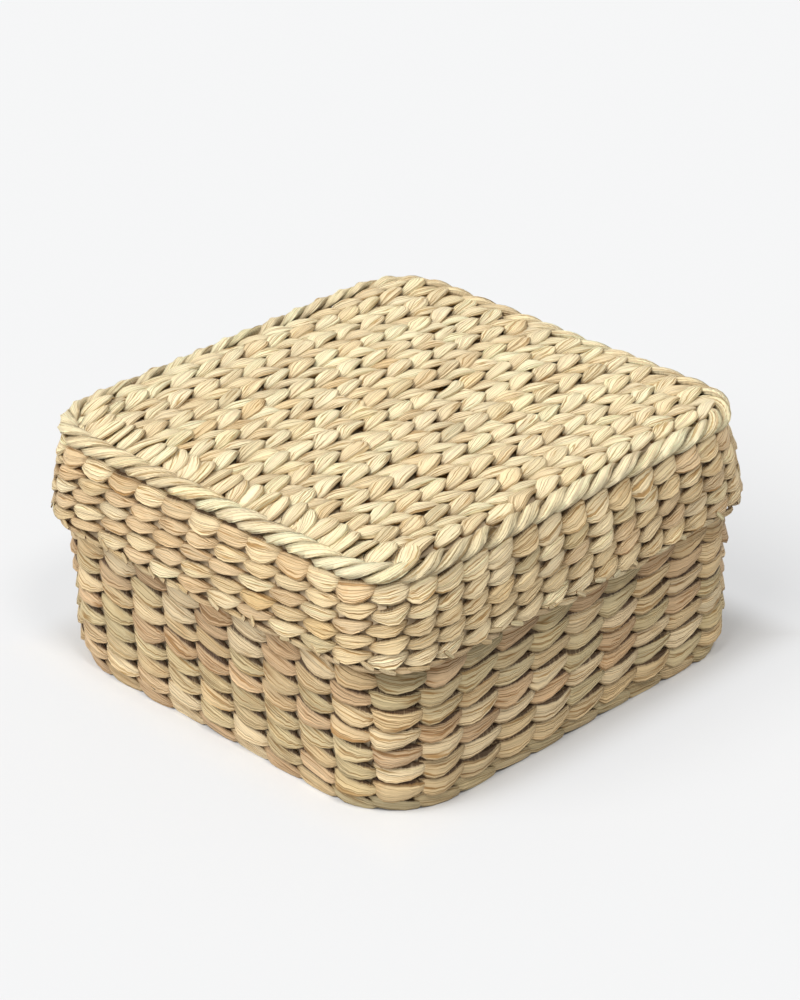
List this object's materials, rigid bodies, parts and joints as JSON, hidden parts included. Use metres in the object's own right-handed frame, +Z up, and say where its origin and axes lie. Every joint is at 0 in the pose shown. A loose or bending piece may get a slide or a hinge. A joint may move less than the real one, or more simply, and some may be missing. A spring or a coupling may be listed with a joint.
{
  "type": "woven lidded box",
  "caption": "Square woven leaf box with rounded corners and a lift-off lid: twined walls, a chevron-rowed flat top and a rope-like border.",
  "frame": {"origin": "middle of the base's underside, on the surface that the box stands on", "axes": "+Z up, +X along the rows of the lid top, -Y and -X are the two sides that the picture shows"},
  "size_m": [0.2556, 0.2556, 0.13],
  "materials": {
    "base_weave": "dry leaf strands, straw with green-grey and pink-tan stitches",
    "floor_weave": "dry leaf strands, straw",
    "lid_weave": "dry leaf strands, pale straw",
    "lid_top_weave": "dry leaf strands, pale straw",
    "rope_border": "twisted dry leaf strands, pale with a green cast",
    "stake_leaf": "flat dry leaf, brown"
  },
  "bodies": {
    "base": {"base_round_01": "base_weave", "base_round_02": "base_weave", "base_round_03": "base_weave", "base_round_04": "base_weave", "base_round_05": "base_weave", "base_round_06": "base_weave", "base_round_07": "base_weave", "base_round_08": "base_weave", "base_round_09": "base_weave", "base_round_10": "base_weave", "base_round_11": "base_weave", "base_round_12": "base_weave", "base_rim": "base_weave", "base_floor_row_01": "floor_weave", "base_floor_row_02": "floor_weave", "base_floor_row_03": "floor_weave", "base_floor_row_04": "floor_weave", "base_floor_row_05": "floor_weave", "base_floor_row_06": "floor_weave", "base_floor_row_07": "floor_weave", "base_floor_row_08": "floor_weave", "base_floor_row_09": "floor_weave", "base_floor_row_10": "floor_weave", "base_floor_row_11": "floor_weave", "base_floor_row_12": "floor_weave", "base_floor_row_13": "floor_weave", "base_stakes_long": "stake_leaf", "base_stakes_left": "stake_leaf", "base_stakes_right": "stake_leaf"},
    "lid": {"lid_round_01": "lid_weave", "lid_round_02": "lid_weave", "lid_round_03": "lid_weave", "lid_round_04": "lid_weave", "lid_round_05": "lid_weave", "lid_rim": "lid_weave", "lid_rope_border": "rope_border", "lid_top_row_01": "lid_top_weave", "lid_top_row_02": "lid_top_weave", "lid_top_row_03": "lid_top_weave", "lid_top_row_04": "lid_top_weave", "lid_top_row_05": "lid_top_weave", "lid_top_row_06": "lid_top_weave", "lid_top_row_07": "lid_top_weave", "lid_top_row_08": "lid_top_weave", "lid_top_row_09": "lid_top_weave", "lid_top_row_10": "lid_top_weave", "lid_top_row_11": "lid_top_weave", "lid_top_row_12": "lid_top_weave", "lid_top_row_13": "lid_top_weave", "lid_stakes_long": "stake_leaf", "lid_stakes_left": "stake_leaf", "lid_stakes_right": "stake_leaf"}
  },
  "joints": [
    {"name": "lid_lift", "type": "slide", "parent": "base", "child": "lid", "axis": [0, 0, 1], "range_m": [0, 0.12]}
  ]
}
